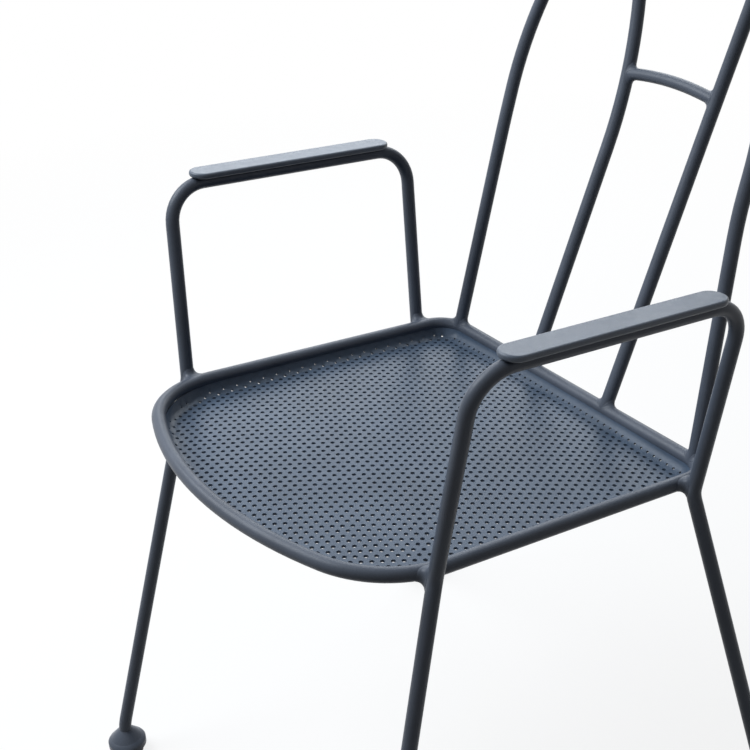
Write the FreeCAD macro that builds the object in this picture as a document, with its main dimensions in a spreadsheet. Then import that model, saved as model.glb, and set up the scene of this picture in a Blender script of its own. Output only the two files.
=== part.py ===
import FreeCAD, Part
import os
from math import acos, atan2, cos, degrees, pi, radians, sin, sqrt, tan

import Sketcher

# Garden armchair welded from bent round bar, with a perforated sheet seat.
# The front of the chair faces -Y, the sitter's left is +X and +Z is up. The origin lies on the floor
# under the middle of the chair. The seat slopes down to the rear, and stations on it run along the slope.

document = FreeCAD.newDocument("garden_armchair")
sheet = document.addObject("Spreadsheet::Sheet", "Sizes")

DRIVING_SIZES = {
    # Round bar and the gap that a weld fills between two bars side by side
    "bar_diameter": 13.8,
    "crossbar_diameter": 12.3,
    "weld_gap": 0.2,
    # Seat plane, through the centre line of the ring
    "seat_height": 440.2,
    "seat_pitch": 6.15,
    "seat_middle_y": -45.2,
    # Seat ring, by its centre line
    "ring_half_width": 208.7,
    "ring_rear_station": 191.8,
    "ring_rear_corner": 31.0,
    "ring_front_station": 226.7,
    "ring_bow_radius": 406.0,
    "ring_front_corner": 91.8,
    # Seat panel, pressed from sheet
    "sheet_thickness": 2.5,
    "panel_depth": 6.9,
    "panel_crown_radius": 4500.0,
    "panel_crown_station": 40.0,
    "panel_inset": 4.0,
    "panel_rim_radius": 11.0,
    "panel_rim_top": 3.0,
    "panel_clearance": 0.1,
    "hole_diameter": 5.0,
    "hole_pitch": 27.15,
    "hole_row_station": -8.1,
    "hole_border": 17.0,
    # Side frames, by their centre lines
    "front_post_station": 132.0,
    "rear_post_station": 156.0,
    "rear_post_drop": 6.0,
    "arm_half_span": 254.3,
    "arm_front_y": -152.5,
    "arm_rear_y": 130.4,
    "arm_front_rise": 208.3,
    "arm_rear_rise": 178.3,
    "arm_bend": 38.1,
    "post_bend": 30.0,
    "ankle_bend": 60.0,
    "ankle_height": 36.0,
    "leg_end_height": 14.0,
    "front_foot_x": 251.7,
    "front_foot_y": -299.4,
    "rear_foot_x": 312.0,
    "rear_foot_y": 153.6,
    # Armrest pads
    "pad_length": 234.0,
    "pad_width": 28.0,
    "pad_thickness": 6.0,
    "pad_edge_round": 2.4,
    "pad_seat_depth": 0.8,
    "pad_forward": 1.5,
    # Bun feet and glides
    "foot_radius": 21.0,
    "foot_base_radius": 18.0,
    "foot_rim_bottom": 10.5,
    "foot_rim_top": 16.8,
    "foot_dome_radius": 14.6,
    "foot_height": 24.0,
    "glide_radius": 16.5,
    "glide_height": 8.0,
    "glide_edge_round": 1.5,
    # Outer hoop of the backrest
    "hoop_half_base": 186.6,
    "hoop_lean": 14.77,
    "hoop_taper": 3.47,
    "hoop_bend_rise": 229.2,
    "hoop_bend_radius": 466.0,
    "arch_lean": 19.0,
    "arch_start": 36.6,
    "arch_side_radius": 357.0,
    "arch_side_turn": 25.0,
    # Inner rods of the backrest and the crossbar between them
    "rod_half_base": 58.7,
    "rod_middle_x": 59.7,
    "rod_middle_back": 81.3,
    "rod_middle_rise": 61.3,
    "rod_middle_bend": 640.0,
    "rod_upper_x": 80.2,
    "rod_upper_back": 113.9,
    "rod_upper_rise": 178.3,
    "rod_upper_bend": 60.0,
    "rod_top_x": 95.0,
    "crossbar_rise": 5.0,
    "crossbar_set_back": 2.0,
}

for row, (alias, number) in enumerate(DRIVING_SIZES.items(), start=1):
    sheet.set("A%d" % row, alias)
    sheet.set("B%d" % row, str(number))
    sheet.setAlias("B%d" % row, alias)
document.recompute()

SIDES = {"left": 1, "right": -1}
PARTS_FOLDER = "parts"
SUB_PARTS = []


def size(alias):
    """The number in the sheet under this alias."""
    return float(sheet.get(alias))


def cell(alias, factor=1):
    """A size times a factor, as its number and as the expression that binds a property to it."""
    return size(alias) * factor, "Sizes.%s * %s" % (alias, factor)


def keep(feature, name):
    """Mark a feature as a finished sub-part, whose label is its file's name."""
    feature.Label = name
    SUB_PARTS.append(feature)
    return feature


bar_radius = size("bar_diameter") / 2
seat_pitch = radians(size("seat_pitch"))
seat_origin = FreeCAD.Vector(0, size("seat_middle_y"), size("seat_height"))
along_seat = FreeCAD.Vector(0, cos(seat_pitch), -sin(seat_pitch))
seat_normal = FreeCAD.Vector(0, sin(seat_pitch), cos(seat_pitch))
across = FreeCAD.Vector(1, 0, 0)


def seat_point(x, station, level=0.0):
    """A point given by its place on the seat plane and its level above it."""
    return seat_origin + across * x + along_seat * station + seat_normal * level


def bend_points(before, corner, after, radius):
    """Where the arc at a corner starts, passes its middle and ends."""
    to_before = (before - corner).normalize()
    to_after = (after - corner).normalize()
    half_turn = (pi - to_before.getAngle(to_after)) / 2
    run = radius * tan(half_turn)
    inward = (to_before + to_after).normalize()
    middle = corner + inward * (radius / cos(half_turn) - radius)
    return corner + to_before * run, middle, corner + to_after * run


def bent_wire(points, radii):
    """Straight runs through the points, joined at each inner point by a tangent arc of its radius."""
    edges = []
    start = points[0]
    for index, radius in enumerate(radii, start=1):
        first, middle, last = bend_points(points[index - 1], points[index], points[index + 1], radius)
        edges.append(Part.LineSegment(start, first).toShape())
        edges.append(Part.Arc(first, middle, last).toShape())
        start = last
    edges.append(Part.LineSegment(start, points[-1]).toShape())
    return Part.Wire(edges)


def add_path(name, wire):
    """A centre line, kept in the document for a bar to follow."""
    path = document.addObject("Part::Feature", name)
    path.Shape = wire
    return path


def add_bar(name, wire, diameter="bar_diameter"):
    """A round bar of the named diameter along a centre line."""
    path = add_path(name + "_path", wire)
    first_edge = wire.OrderedEdges[0]
    start = wire.OrderedVertexes[0].Point
    heading = first_edge.tangentAt(first_edge.FirstParameter)
    if first_edge.valueAt(first_edge.FirstParameter).distanceToPoint(start) > 0.001:
        heading = first_edge.tangentAt(first_edge.LastParameter) * -1
    section = document.addObject("Part::Circle", name + "_section")
    section.setExpression("Radius", "Sizes.%s / 2" % diameter)
    section.Placement = FreeCAD.Placement(start, FreeCAD.Rotation(FreeCAD.Vector(0, 0, 1), heading))
    document.recompute()
    bar = document.addObject("Part::Sweep", name)
    bar.Sections = [section]
    bar.Spine = (path, ["Edge%d" % number for number in range(1, len(path.Shape.Edges) + 1)])
    bar.Solid = True
    bar.Frenet = False
    document.recompute()
    expected = pi * (size(diameter) / 2) ** 2 * wire.Length
    print("%s: volume over section times length %.4f" % (name, bar.Shape.Volume / expected))
    return bar


def add_cut(name, base, tool):
    """A piece with another one's shape cut away, as a coped end is."""
    cut = document.addObject("Part::Cut", name)
    cut.Base = base
    cut.Tool = tool
    document.recompute()
    return cut


def origin_plane(body, role):
    """One of a body's own origin planes."""
    return [plane for plane in body.Origin.OriginFeatures if plane.Role == role][0]


def new_sketch(body, name, role):
    """A sketch on an origin plane of its own body."""
    sketch = body.newObject("Sketcher::SketchObject", name)
    sketch.AttachmentSupport = [(origin_plane(body, role), "")]
    sketch.MapMode = "FlatFace"
    return sketch


def pin_point(sketch, geometry, end, x, y):
    """Hold a sketch point at two sheet sizes from the origin; None keeps it on that axis."""
    for kind, axis, distance in (("DistanceX", -2, x), ("DistanceY", -1, y)):
        if distance is None:
            sketch.addConstraint(Sketcher.Constraint("PointOnObject", geometry, end, axis))
            continue
        number, expression = distance
        index = sketch.addConstraint(Sketcher.Constraint(kind, -1, 1, geometry, end, number))
        sketch.setExpression("Constraints[%d]" % index, expression)


def at(distance):
    """The number of a pinned distance, or zero on an axis."""
    return 0.0 if distance is None else distance[0]


def turned_body(name, outline, dome=None):
    """A body turned about Z from a closed outline; one side of it can be a dome's arc of a named radius."""
    body = document.addObject("PartDesign::Body", name)
    sketch = new_sketch(body, name + "_profile", "XZ_Plane")
    corners = [FreeCAD.Vector(at(x), at(y), 0) for x, y in outline]
    for index, corner in enumerate(corners):
        following = corners[(index + 1) % len(corners)]
        if dome and index == dome[0]:
            radius = size(dome[1])
            chord = following - corner
            inward = FreeCAD.Vector(-chord.y, chord.x, 0).normalize()
            centre = (corner + following) / 2 + inward * sqrt(radius ** 2 - (chord.Length / 2) ** 2)
            start_angle, end_angle = [atan2(end.y - centre.y, end.x - centre.x) for end in (corner, following)]
            circle = Part.Circle(centre, FreeCAD.Vector(0, 0, 1), radius)
            sketch.addGeometry(Part.ArcOfCircle(circle, start_angle, end_angle))
            radius_rule = sketch.addConstraint(Sketcher.Constraint("Radius", index, radius))
            sketch.setExpression("Constraints[%d]" % radius_rule, "Sizes.%s" % dome[1])
        else:
            sketch.addGeometry(Part.LineSegment(corner, following))
    for index, (x, y) in enumerate(outline):
        previous = (index - 1) % len(outline)
        sketch.addConstraint(Sketcher.Constraint("Coincident", previous, 2, index, 1))
        pin_point(sketch, index, 1, x, y)
    turned = body.newObject("PartDesign::Revolution", name + "_turned")
    turned.Profile = sketch
    turned.ReferenceAxis = (sketch, ["V_Axis"])
    turned.Angle = 360
    document.recompute()
    return body


# Seat ring: one closed bar, straight at the sides and the rear, with tight rear corners, and bowed at
# the front between two wide corners.

half_width = size("ring_half_width")
rear_corner_x = half_width - size("ring_rear_corner")
rear_corner_station = size("ring_rear_station") - size("ring_rear_corner")
front_corner_x = half_width - size("ring_front_corner")
bow_centre_station = size("ring_bow_radius") - size("ring_front_station")
corner_to_bow = size("ring_bow_radius") - size("ring_front_corner")
front_corner_station = bow_centre_station - sqrt(corner_to_bow ** 2 - front_corner_x ** 2)


def outline_points(inset):
    """Key points of the ring's outline, moved inwards, as pairs of X and station on the +X side."""
    rear_radius = size("ring_rear_corner") - inset
    front_radius = size("ring_front_corner") - inset
    bow_radius = size("ring_bow_radius") - inset
    turn = atan2(front_corner_x, bow_centre_station - front_corner_station)
    middle_turn = (radians(90) + turn) / 2
    return {
        "rear_rail": (rear_corner_x, rear_corner_station + rear_radius),
        "rear_corner": (rear_corner_x + rear_radius * sin(radians(45)),
                        rear_corner_station + rear_radius * sin(radians(45))),
        "rear_side": (half_width - inset, rear_corner_station),
        "front_side": (half_width - inset, front_corner_station),
        "front_corner": (front_corner_x + front_radius * sin(middle_turn),
                         front_corner_station - front_radius * cos(middle_turn)),
        "bow_end": (bow_radius * sin(turn), bow_centre_station - bow_radius * cos(turn)),
        "bow_middle": (0.0, bow_centre_station - bow_radius),
    }


def outline_wire(inset, place):
    """The ring's outline, moved inwards, with each point put in space by a function."""
    marks = outline_points(inset)
    right = {key: place(x, station) for key, (x, station) in marks.items()}
    left = {key: place(-x, station) for key, (x, station) in marks.items()}
    edges = [
        Part.LineSegment(left["rear_rail"], right["rear_rail"]),
        Part.Arc(right["rear_rail"], right["rear_corner"], right["rear_side"]),
        Part.LineSegment(right["rear_side"], right["front_side"]),
        Part.Arc(right["front_side"], right["front_corner"], right["bow_end"]),
        Part.Arc(right["bow_end"], right["bow_middle"], left["bow_end"]),
        Part.Arc(left["bow_end"], left["front_corner"], left["front_side"]),
        Part.LineSegment(left["front_side"], left["rear_side"]),
        Part.Arc(left["rear_side"], left["rear_corner"], left["rear_rail"]),
    ]
    return Part.Wire([edge.toShape() for edge in edges])


def rear_station(x):
    """The station of the ring's centre line behind a point at this X, on the rail or its corner."""
    beyond = max(0.0, abs(x) - rear_corner_x)
    return rear_corner_station + sqrt(size("ring_rear_corner") ** 2 - beyond ** 2)


seat_ring = keep(add_bar("seat_ring", outline_wire(0.0, seat_point)), "seat_ring")

# Seat panel: a pan with a crowned floor. Its rim turns up all round, against the inside of the ring.


def flat_point(x, station):
    """A point of the seat plane before the seat is put in its place."""
    return FreeCAD.Vector(x, station, 0)


def crowned_block(name, inset, floor_drop, round_radius):
    """The room above a crowned floor, inside the outline, with a rounded foot all round."""
    outline = add_path(name + "_outline", outline_wire(inset, flat_point))
    column = document.addObject("Part::Extrusion", name + "_column")
    column.Base = outline
    column.DirMode = "Custom"
    column.Dir = FreeCAD.Vector(0, 0, 1)
    column.Solid = True
    column.LengthFwd = size("panel_rim_radius") * 3
    column.LengthRev = size("panel_rim_radius") * 4
    crown = document.addObject("Part::Sphere", name + "_crown")
    crown.setExpression("Radius", "Sizes.panel_crown_radius")
    crown.setExpression("Placement.Base.y", "Sizes.panel_crown_station")
    level = "-Sizes.panel_crown_radius - Sizes.panel_depth - %s" % floor_drop
    crown.setExpression("Placement.Base.z", level)
    block = add_cut(name + "_block", column, crown)
    lowest = [number for number, edge in enumerate(block.Shape.Edges, start=1)
              if edge.BoundBox.ZMax < 0 and edge.BoundBox.ZMin > -column.LengthRev.Value]
    rounded = document.addObject("Part::Fillet", name + "_rounded")
    rounded.Base = block
    rounded.Edges = [(number, round_radius, round_radius) for number in lowest]
    document.recompute()
    return rounded


thickness = size("sheet_thickness")
outer_block = crowned_block("panel_outer", size("panel_inset"), "Sizes.sheet_thickness",
                            size("panel_rim_radius") + thickness)
inner_block = crowned_block("panel_inner", size("panel_inset") + thickness, "0",
                            size("panel_rim_radius"))
pan = add_cut("panel_pan", outer_block, inner_block)

trim = document.addObject("Part::Box", "panel_trim")
trim.Length = 4 * half_width
trim.Width = 4 * half_width
trim.Height = 2 * half_width
trim.Placement.Base = FreeCAD.Vector(-2 * half_width, -2 * half_width, -size("panel_rim_top"))
trimmed = add_cut("panel_trimmed", pan, trim)


def distance_inside(x, station):
    """How far a point lies inside the ring's centre line, measured square to it."""
    beside = half_width - abs(x)
    behind = size("ring_rear_station") - station
    ahead = size("ring_bow_radius") - sqrt(x ** 2 + (bow_centre_station - station) ** 2)
    nearest = min(beside, behind, ahead)
    if abs(x) > front_corner_x and station < front_corner_station:
        from_centre = sqrt((abs(x) - front_corner_x) ** 2 + (front_corner_station - station) ** 2)
        nearest = size("ring_front_corner") - from_centre
    return nearest


def punch(x, station, drop):
    """A six-sided punch through the floor of the pan; six sides stand for the round hole's wall."""
    radius = size("hole_diameter") / 2
    corners = [FreeCAD.Vector(x + radius * cos(radians(60 * turn)),
                              station + radius * sin(radians(60 * turn)), -drop) for turn in range(7)]
    return Part.Face(Part.makePolygon(corners)).extrude(FreeCAD.Vector(0, 0, drop))


def punches():
    """Punches on a triangular grid, one row after another, wherever the floor of the pan is flat."""
    pitch = size("hole_pitch")
    row_step = pitch * sin(radians(60))
    reach = int((half_width + size("ring_front_station")) / row_step) + 1
    tools = []
    for row in range(-reach, reach + 1):
        for place in range(-reach, reach + 1):
            x = pitch * (place + 0.5 * (row % 2))
            station = size("hole_row_station") + row * row_step
            if distance_inside(x, station) >= size("hole_border"):
                tools.append(punch(x, station, size("panel_rim_radius") * 4))
    print("holes in the seat panel", len(tools))
    return Part.makeCompound(tools)


ring_room = document.addObject("Part::Sweep", "ring_room")
ring_section = document.addObject("Part::Circle", "ring_room_section")
ring_section.setExpression("Radius", "Sizes.bar_diameter / 2 + Sizes.panel_clearance")
flat_outline = add_path("ring_room_path", outline_wire(0.0, flat_point))
ring_start = flat_outline.Shape.OrderedVertexes[0].Point
ring_section.Placement = FreeCAD.Placement(ring_start, FreeCAD.Rotation(FreeCAD.Vector(0, 0, 1), across))
ring_room.Sections = [ring_section]
ring_room.Spine = (flat_outline, ["Edge%d" % number for number in range(1, 9)])
ring_room.Solid = True
fitted = add_cut("panel_fitted", trimmed, ring_room)

seat_panel = document.addObject("Part::Cut", "panel_perforated")
seat_panel.Base = fitted
seat_panel.Tool = add_path("panel_punches", punches())
seat_panel.Placement = FreeCAD.Placement(seat_origin, FreeCAD.Rotation(across, -size("seat_pitch")))
document.recompute()
keep(seat_panel, "seat_panel")

# Side frames: each is one bar, bent from the front foot up the front post, along the arm rail and down
# the rear post to the rear foot. The posts lie against the sides of the ring.

side_contact = size("bar_diameter") + size("weld_gap")
ring_line = document.getObject("seat_ring_path")
CONTACT_STEPS = 6


def beside_ring(station):
    """The X of a bar's centre line where it touches the ring's side at this station."""
    ahead = front_corner_station - station
    behind = station - rear_corner_station
    if ahead > 0:
        return front_corner_x + sqrt((size("ring_front_corner") + side_contact) ** 2 - ahead ** 2)
    if behind > 0:
        return rear_corner_x + sqrt((size("ring_rear_corner") + side_contact) ** 2 - behind ** 2)
    return half_width + side_contact


def post_corner(station, drop, foot, arm):
    """The corner of a post's bend, moved sideways until the post touches the ring."""
    corner = seat_point(beside_ring(station), station)
    corner += (corner - arm).normalize() * drop
    for attempt in range(CONTACT_STEPS):
        post = bent_wire([foot, corner, arm], [size("post_bend")])
        corner.x += side_contact - post.distToShape(ring_line.Shape)[0]
    return corner


def above_floor(x, y, height):
    """A point given by a named X, Y and height."""
    return FreeCAD.Vector(size(x), size(y), size(height))


front_ankle = above_floor("front_foot_x", "front_foot_y", "ankle_height")
rear_ankle = above_floor("rear_foot_x", "rear_foot_y", "ankle_height")
arm_front = FreeCAD.Vector(size("arm_half_span"), size("arm_front_y"), seat_origin.z + size("arm_front_rise"))
arm_rear = FreeCAD.Vector(size("arm_half_span"), size("arm_rear_y"), seat_origin.z + size("arm_rear_rise"))
frame_corners = [
    above_floor("front_foot_x", "front_foot_y", "leg_end_height"),
    front_ankle,
    post_corner(-size("front_post_station"), 0.0, front_ankle, arm_front),
    arm_front,
    arm_rear,
    post_corner(size("rear_post_station"), size("rear_post_drop"), rear_ankle, arm_rear),
    rear_ankle,
    above_floor("rear_foot_x", "rear_foot_y", "leg_end_height"),
]
frame_bends = [size(bend) for bend in ("ankle_bend", "post_bend", "arm_bend",
                                       "arm_bend", "post_bend", "ankle_bend")]


def on_side(points, sign):
    """The points as they are for the +X side, or mirrored for the other."""
    return [FreeCAD.Vector(point.x * sign, point.y, point.z) for point in points]


side_frames = {}
for side, sign in SIDES.items():
    name = side + "_side_frame"
    side_frames[side] = keep(add_bar(name, bent_wire(on_side(frame_corners, sign), frame_bends)), name)

# Armrest pads: flat bar with round ends and edges, fitted over the top of each arm rail.

arm_run = arm_rear - arm_front
arm_pitch = atan2(arm_run.z, arm_run.y)
arm_middle = (arm_rear + arm_front) / 2
above_arm = FreeCAD.Vector(0, -sin(arm_pitch), cos(arm_pitch))
pad_middle = (arm_middle + above_arm * (bar_radius - size("pad_seat_depth"))
              - arm_run.normalize() * size("pad_forward"))


def pad_body(name):
    """A flat bar along Y on the XY plane, with half-round ends and rounded long edges."""
    body = document.addObject("PartDesign::Body", name)
    sketch = new_sketch(body, name + "_outline", "XY_Plane")
    radius = size("pad_width") / 2
    reach = size("pad_length") / 2 - radius
    up = FreeCAD.Vector(0, 0, 1)
    quarter = radians(90)
    front_end = Part.Circle(FreeCAD.Vector(0, -reach, 0), up, radius)
    rear_end = Part.Circle(FreeCAD.Vector(0, reach, 0), up, radius)
    sketch.addGeometry(Part.ArcOfCircle(front_end, -2 * quarter, 0))
    sketch.addGeometry(Part.LineSegment(FreeCAD.Vector(radius, -reach, 0), FreeCAD.Vector(radius, reach, 0)))
    sketch.addGeometry(Part.ArcOfCircle(rear_end, 0, 2 * quarter))
    sketch.addGeometry(Part.LineSegment(FreeCAD.Vector(-radius, reach, 0), FreeCAD.Vector(-radius, -reach, 0)))
    for index in range(4):
        sketch.addConstraint(Sketcher.Constraint("Tangent", index, 2, (index + 1) % 4, 1))
    sketch.addConstraint(Sketcher.Constraint("Vertical", 1))
    sketch.addConstraint(Sketcher.Constraint("Symmetric", 0, 3, 2, 3, -1, 1))
    width_rule = sketch.addConstraint(Sketcher.Constraint("Radius", 2, radius))
    sketch.setExpression("Constraints[%d]" % width_rule, "Sizes.pad_width / 2")
    reach_rule = sketch.addConstraint(Sketcher.Constraint("DistanceY", -1, 1, 2, 3, reach))
    reach_expression = "Sizes.pad_length / 2 - Sizes.pad_width / 2"
    sketch.setExpression("Constraints[%d]" % reach_rule, reach_expression)
    flat_bar = body.newObject("PartDesign::Pad", name + "_bar")
    flat_bar.Profile = sketch
    flat_bar.setExpression("Length", "Sizes.pad_thickness")
    document.recompute()
    edges = ["Edge%d" % number for number, edge in enumerate(flat_bar.Shape.Edges, start=1)
             if edge.BoundBox.ZLength < 0.001]
    soft = body.newObject("PartDesign::Fillet", name + "_rounds")
    soft.Base = (flat_bar, edges)
    soft.setExpression("Radius", "Sizes.pad_edge_round")
    document.recompute()
    return body


for side, sign in SIDES.items():
    body = pad_body(side + "_pad_blank")
    place = FreeCAD.Vector(pad_middle.x * sign, pad_middle.y, pad_middle.z)
    body.Placement = FreeCAD.Placement(place, FreeCAD.Rotation(across, degrees(arm_pitch)))
    name = side + "_armrest_pad"
    keep(add_cut(name + "_fitted", body, side_frames[side]), name)

# Back hoop: it stands on the rear rail of the ring. Its legs lean back and towards each other, and its
# arch leans back further: a long arc at each side and a tighter one over the top.

lean = radians(size("hoop_lean"))
taper = radians(size("hoop_taper"))
arch_lean = radians(size("arch_lean"))
arch_up = FreeCAD.Vector(0, sin(arch_lean), cos(arch_lean))
hoop_foot = seat_point(size("hoop_half_base"), rear_station(size("hoop_half_base")))
leg_heading = FreeCAD.Vector(-sin(taper), sin(lean) * cos(taper), cos(lean) * cos(taper))
hoop_knee = hoop_foot + leg_heading * (size("hoop_bend_rise") / leg_heading.z)
arch_foot = hoop_knee + arch_up * size("arch_start")
side_turn = radians(size("arch_side_turn"))
top_radius = (arch_foot.x - size("arch_side_radius") * (1 - cos(side_turn))) / cos(side_turn)
top_centre = (FreeCAD.Vector(0, arch_foot.y, arch_foot.z)
              + arch_up * ((size("arch_side_radius") - top_radius) * sin(side_turn)))


def arch_point(x, rise):
    """A point of the arch's plane, by its X and its distance up the plane from the arch's foot."""
    return FreeCAD.Vector(x, arch_foot.y, arch_foot.z) + arch_up * rise


def side_arc_point(turn):
    """A point of the +X side arc, by the angle turned so far."""
    radius = size("arch_side_radius")
    return arch_point(arch_foot.x - radius * (1 - cos(turn)), radius * sin(turn))


def mirrored(point):
    """The same point on the other side of the chair."""
    return FreeCAD.Vector(-point.x, point.y, point.z)


def hoop_wire():
    """The whole centre line, from the foot at +X over the top to the foot at -X."""
    first, middle, last = bend_points(hoop_foot, hoop_knee, arch_foot, size("hoop_bend_radius"))
    shoulder = side_arc_point(side_turn)
    half_way = side_arc_point(side_turn / 2)
    top = top_centre + arch_up * top_radius
    edges = [
        Part.LineSegment(hoop_foot, first),
        Part.Arc(first, middle, last),
        Part.LineSegment(last, arch_foot),
        Part.Arc(arch_foot, half_way, shoulder),
        Part.Arc(shoulder, top, mirrored(shoulder)),
        Part.Arc(mirrored(shoulder), mirrored(half_way), mirrored(arch_foot)),
        Part.LineSegment(mirrored(arch_foot), mirrored(last)),
        Part.Arc(mirrored(last), mirrored(middle), mirrored(first)),
        Part.LineSegment(mirrored(first), mirrored(hoop_foot)),
    ]
    return Part.Wire([edge.toShape() for edge in edges])


hoop_bar = add_bar("hoop_bar", hoop_wire())
back_hoop = keep(add_cut("hoop_coped", hoop_bar, seat_ring), "back_hoop")

# Inner rods: each leaves the rear rail at a steeper slope than the hoop, straightens up behind it, and
# comes forward again into the underside of the arch.


def rod_corner(x, back, rise):
    """A corner of the inner rod, by its X and how far it lies behind and above the hoop's knee."""
    return FreeCAD.Vector(size(x), hoop_knee.y + size(back), hoop_knee.z + size(rise))


rod_top_angle = acos(size("rod_top_x") / top_radius)
rod_top = top_centre + across * size("rod_top_x") + arch_up * (top_radius * sin(rod_top_angle))
rod_knots = [
    seat_point(size("rod_half_base"), rear_station(size("rod_half_base"))),
    rod_corner("rod_middle_x", "rod_middle_back", "rod_middle_rise"),
    rod_corner("rod_upper_x", "rod_upper_back", "rod_upper_rise"),
    rod_top,
]
rod_bends = [size("rod_middle_bend"), size("rod_upper_bend")]
rods = {}
for side, sign in SIDES.items():
    bar = add_bar(side + "_rod_bar", bent_wire(on_side(rod_knots, sign), rod_bends))
    on_ring = add_cut(side + "_rod_on_ring", bar, seat_ring)
    rods[side] = keep(add_cut(side + "_rod_coped", on_ring, hoop_bar), side + "_inner_rod")

# Crossbar: a thinner bar, bowed a little up and back, between the rods at their middle bend.

bar_end = bend_points(rod_knots[0], rod_knots[1], rod_knots[2], size("rod_middle_bend"))[1]
bar_middle = FreeCAD.Vector(0, bar_end.y + size("crossbar_set_back"), bar_end.z + size("crossbar_rise"))
crossbar_wire = Part.Wire([Part.Arc(bar_end, bar_middle, mirrored(bar_end)).toShape()])
crossbar = add_bar("crossbar_bar", crossbar_wire, "crossbar_diameter")
half_coped = add_cut("crossbar_left_coped", crossbar, rods["left"])
keep(add_cut("crossbar_coped", half_coped, rods["right"]), "back_crossbar")

# Bun feet, each with a socket for the end of its leg, and a glide under each foot.

leg_socket = cell("bar_diameter", 0.5)
foot_outline = [
    (None, cell("glide_height")),
    (cell("foot_base_radius"), cell("glide_height")),
    (cell("foot_radius"), cell("foot_rim_bottom")),
    (cell("foot_radius"), cell("foot_rim_top")),
    (leg_socket, cell("foot_height")),
    (leg_socket, cell("leg_end_height")),
    (None, cell("leg_end_height")),
]
glide_outline = [
    (None, None),
    (cell("glide_radius"), None),
    (cell("glide_radius"), cell("glide_height")),
    (None, cell("glide_height")),
]
for end in ("front", "rear"):
    for side, sign in SIDES.items():
        corner = "%s_%s" % (end, side)
        foot = keep(turned_body(corner + "_bun", foot_outline, (3, "foot_dome_radius")), corner + "_foot")
        glide = turned_body(corner + "_glide_disc", glide_outline)
        ground_edges = ["Edge%d" % number for number, edge in enumerate(glide.Shape.Edges, start=1)
                        if edge.BoundBox.ZMax < 0.001]
        turned = glide.Tip
        soft = glide.newObject("PartDesign::Fillet", corner + "_glide_round")
        soft.Base = (turned, ground_edges)
        soft.setExpression("Radius", "Sizes.glide_edge_round")
        keep(glide, corner + "_glide")
        for piece in (foot, glide):
            piece.setExpression("Placement.Base.x", "Sizes.%s_foot_x * %d" % (end, sign))
            piece.setExpression("Placement.Base.y", "Sizes.%s_foot_y" % end)
document.recompute()

for feature in document.Objects:
    if "Invalid" in feature.State or "Error" in feature.State:
        raise RuntimeError("%s could not be built" % feature.Label)
for feature in SUB_PARTS:
    if feature.Shape.isNull() or not feature.Shape.isValid() or not feature.Shape.Solids:
        raise RuntimeError("%s is not a sound solid" % feature.Label)

os.makedirs(PARTS_FOLDER, exist_ok=True)
for feature in SUB_PARTS:
    feature.Shape.exportStep(os.path.join(PARTS_FOLDER, feature.Label + ".step"))
    box = feature.Shape.BoundBox
    print("%s: %d solid, %.1f cm3, z %.1f to %.1f" % (
        feature.Label, len(feature.Shape.Solids), feature.Shape.Volume / 1000, box.ZMin, box.ZMax))
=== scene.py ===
from math import acos, cos, radians, sin, sqrt, tan

import bpy
import numpy as np
from mathutils import Matrix, Vector


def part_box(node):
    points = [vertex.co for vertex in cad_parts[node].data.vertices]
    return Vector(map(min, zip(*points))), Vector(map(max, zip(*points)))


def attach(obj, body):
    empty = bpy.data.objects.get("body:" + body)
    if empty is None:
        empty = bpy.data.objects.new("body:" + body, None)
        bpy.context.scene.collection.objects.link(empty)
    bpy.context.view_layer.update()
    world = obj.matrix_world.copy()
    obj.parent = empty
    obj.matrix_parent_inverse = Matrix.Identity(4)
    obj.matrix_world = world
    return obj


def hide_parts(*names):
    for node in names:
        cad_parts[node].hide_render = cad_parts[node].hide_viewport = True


# Looks of a garden armchair of bent round bar with a perforated, dished seat. Lengths are in metres.
# The front faces -Y, the sitter's left is +X, +Z is up. Stations run from the seat's middle to the rear,
# along the slope of the seat.

bl_info = {
    "name": "Garden Armchair",
    "version": (1, 0, 0),
    "blender": (4, 5, 0),
    "location": "3D View > Sidebar > Armchair",
    "description": "Perforated seat, welds and satin powder coat of a garden armchair of bent round bar",
    "category": "Object",
}

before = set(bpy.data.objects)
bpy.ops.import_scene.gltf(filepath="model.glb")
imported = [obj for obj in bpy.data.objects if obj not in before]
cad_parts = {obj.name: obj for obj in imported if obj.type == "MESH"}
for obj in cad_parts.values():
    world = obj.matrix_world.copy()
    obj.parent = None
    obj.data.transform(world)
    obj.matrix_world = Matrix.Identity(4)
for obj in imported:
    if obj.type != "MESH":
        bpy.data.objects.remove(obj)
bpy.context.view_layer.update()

MM = 0.001
# The chair's sides, as signs of X
LEFT, RIGHT = 1.0, -1.0
BARS = ["seat_ring", "left_side_frame", "right_side_frame", "back_hoop", "left_inner_rod",
        "right_inner_rod", "back_crossbar"]
PADS = ["left_armrest_pad", "right_armrest_pad"]
FEET = ["front_left", "front_right", "rear_left", "rear_right"]


# Properties


def length(name, description, default):
    """A distance property in metres."""
    return bpy.props.FloatProperty(name=name, description=description, default=default, min=0.0,
                                   subtype="DISTANCE", unit="LENGTH", precision=4)


def offset(name, description, default):
    """A distance property in metres that may be below zero."""
    return bpy.props.FloatProperty(name=name, description=description, default=default,
                                   subtype="DISTANCE", unit="LENGTH", precision=4)


def point(name, description, default):
    """A property with the X, Y and Z of a point in metres."""
    return bpy.props.FloatVectorProperty(name=name, description=description, default=default, size=3,
                                         subtype="TRANSLATION", unit="LENGTH", precision=4)


def tilt(name, description, degrees):
    """An angle property, given in degrees."""
    return bpy.props.FloatProperty(name=name, description=description, default=radians(degrees),
                                   subtype="ANGLE", unit="ROTATION")


def colour(name, description, default):
    """A colour property, linear red, green and blue."""
    return bpy.props.FloatVectorProperty(name=name, description=description, default=default, size=3,
                                         subtype="COLOR", min=0.0, max=1.0)


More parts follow.
